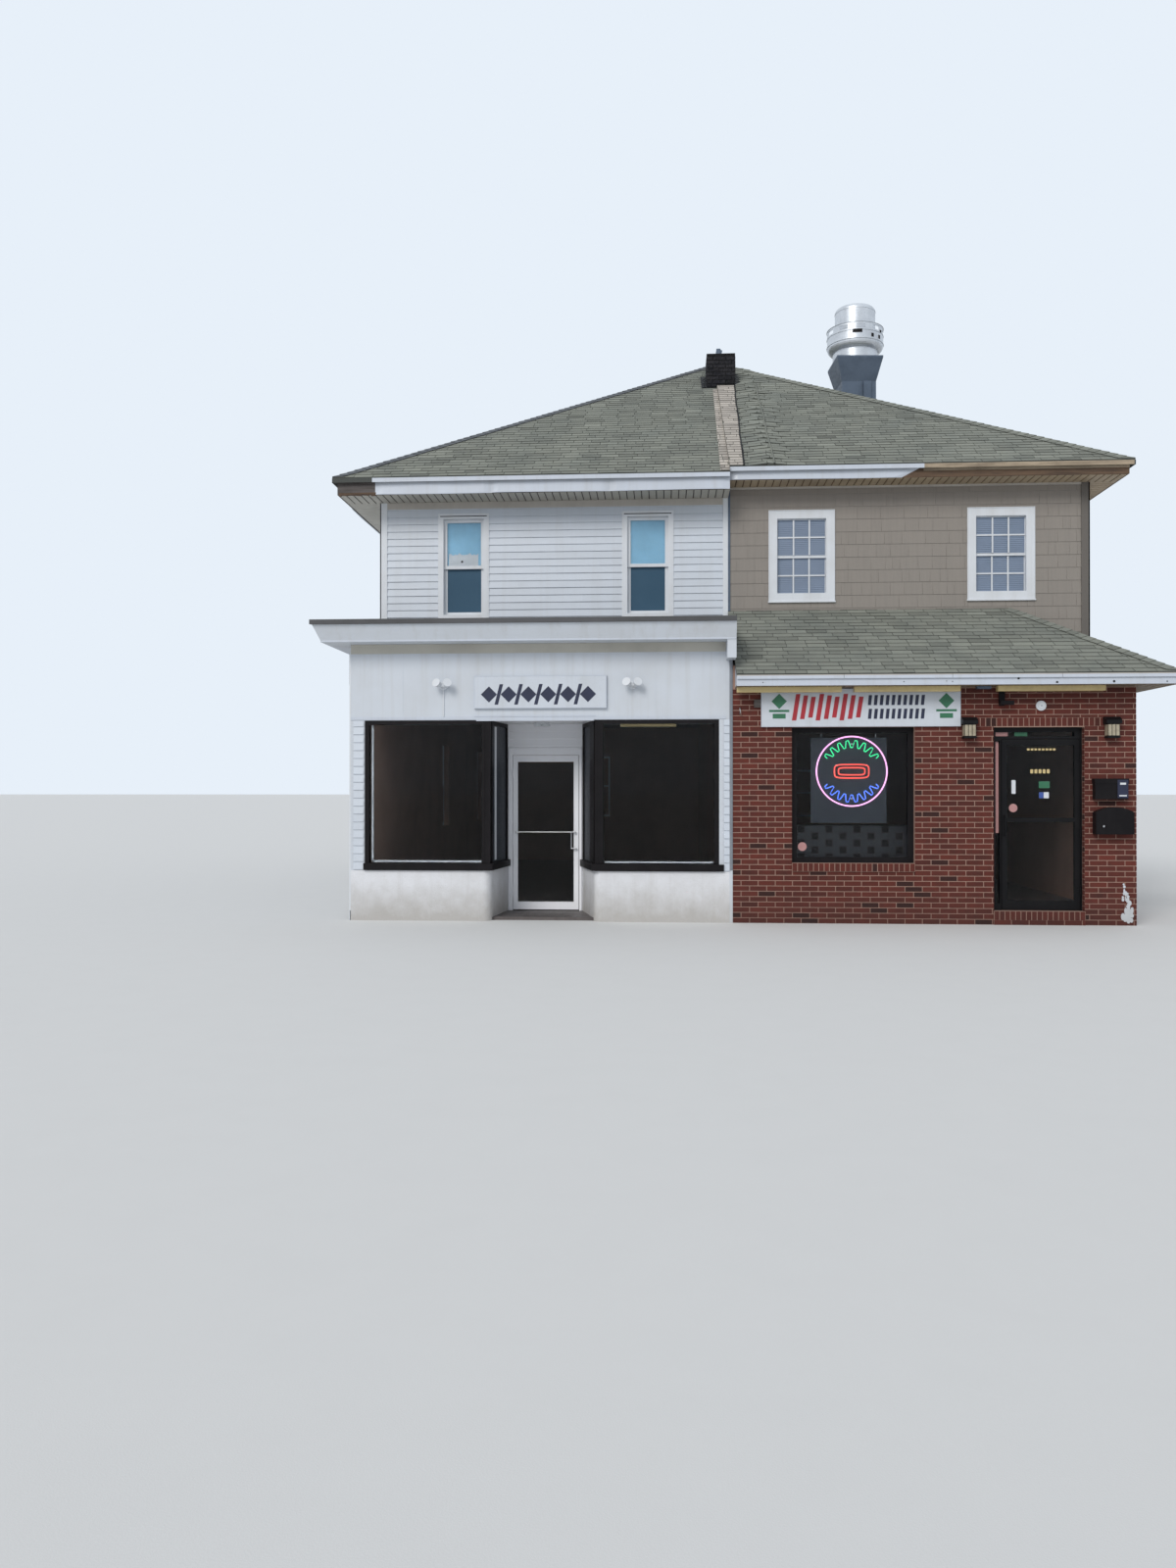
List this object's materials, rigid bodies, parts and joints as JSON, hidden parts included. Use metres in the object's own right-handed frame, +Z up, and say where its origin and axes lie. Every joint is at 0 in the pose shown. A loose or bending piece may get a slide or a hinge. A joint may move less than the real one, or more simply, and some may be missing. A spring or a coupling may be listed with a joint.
{
  "type": "pair of two-storey corner shops",
  "caption": "Two small shops under one hip roof: a white shop front with a recessed door and a brick shop front under a pent roof, with living rooms above.",
  "frame": {"origin": "on the ground at the party line between the two shops, at the face of the shop fronts", "axes": "+X right along the street front, +Y into the building, +Z up"},
  "size_m": [10.825, 13.63, 10.0803],
  "materials": {
    "floor_boards": "worn varnished boards",
    "plaster": "painted plaster",
    "white_siding": "white vinyl lap siding",
    "tan_shakes": "tan shake siding in staggered courses",
    "red_brick": "red brick with pale pinkish mortar",
    "shingles": "greenish grey three-tab asphalt shingles on a deck",
    "white_metal": "white enamelled aluminium, a little dented",
    "weathered_wood": "bare weathered brown board",
    "cream_vinyl": "ribbed cream soffit panels",
    "brown_vinyl": "ribbed brown soffit panels",
    "tarred_brick": "brick under black roof tar",
    "galvanised_steel": "dull galvanised sheet",
    "spun_aluminium": "spun aluminium with a pale bloom",
    "white_vinyl": "white vinyl",
    "window_glass": "clear window glass",
    "shop_glass": "clear plate glass",
    "white_stucco": "painted stucco",
    "black_aluminium": "black painted aluminium",
    "satin_steel": "satin",
    "roof_felt": "mineral roof felt",
    "bronze_aluminium": "dark bronze anodised",
    "light_diffuser": "yellowed diffuser",
    "sign_face": "bare pale panel",
    "white_plastic": "white plastic",
    "lantern_metal": "bronze lantern with a cream glass",
    "black_enamel": "black enamel"
  },
  "bodies": {
    "root": {"shop_floors": "floor_boards", "upper_floors": "floor_boards", "ceilings": "plaster", "party_wall": "plaster", "shop_party_wall": "plaster", "side_wall_left": "white_siding", "side_wall_right": "tan_shakes", "shop_side_wall_left": "white_siding", "shop_side_wall_right": "red_brick", "rear_wall_left": "white_siding", "rear_wall_right": "tan_shakes", "upper_front_wall_left": "white_siding", "upper_front_wall_right": "tan_shakes", "roof_left": "shingles", "roof_right": "shingles", "fascia_left": "white_metal", "fascia_right": "weathered_wood", "soffit_left": "cream_vinyl", "soffit_right": "brown_vinyl", "chimney": "tarred_brick", "exhaust_duct": "galvanised_steel", "exhaust_fan": "spun_aluminium", "window_frames_left": "white_vinyl", "window_frames_right": "white_vinyl", "window_glass": "window_glass", "stall_risers": "white_stucco", "display_decks": "floor_boards", "display_frames": "black_aluminium", "display_glass": "shop_glass", "shop_piers": "white_siding", "signboard_wall": "white_stucco", "recess_ceiling": "plaster", "door_head_panel": "white_siding", "left_door_frame": "white_metal", "cornice": "white_metal", "flat_roof": "roof_felt", "brick_wall": "red_brick", "brick_pier": "red_brick", "brick_over_door": "red_brick", "brick_sills": "red_brick", "brick_window_frame": "black_aluminium", "brick_window_glass": "shop_glass", "right_door_frame": "bronze_aluminium", "pent_roof": "shingles", "pent_fascia": "white_metal", "pent_soffit": "brown_vinyl", "strip_lights": "light_diffuser", "sign_panels": "sign_face", "floodlights": "white_plastic", "wall_lanterns": "lantern_metal", "mailboxes": "black_enamel"},
    "left_door_leaf": {"left_door": "white_metal", "left_door_glass": "shop_glass", "left_door_handle": "satin_steel"},
    "right_door_leaf": {"right_door": "bronze_aluminium", "right_door_glass": "shop_glass", "right_door_handle": "satin_steel"}
  },
  "joints": [
    {"name": "left_door_hinge", "type": "hinge", "parent": "root", "child": "left_door_leaf", "pos_m": [-2.9342, 0.9695, 1], "axis": [0, 0, -1], "range_deg": [0, 90]},
    {"name": "right_door_hinge", "type": "hinge", "parent": "root", "child": "right_door_leaf", "pos_m": [4.2592, 0.0835, 1], "axis": [0, 0, 1], "range_deg": [0, 90]}
  ]
}
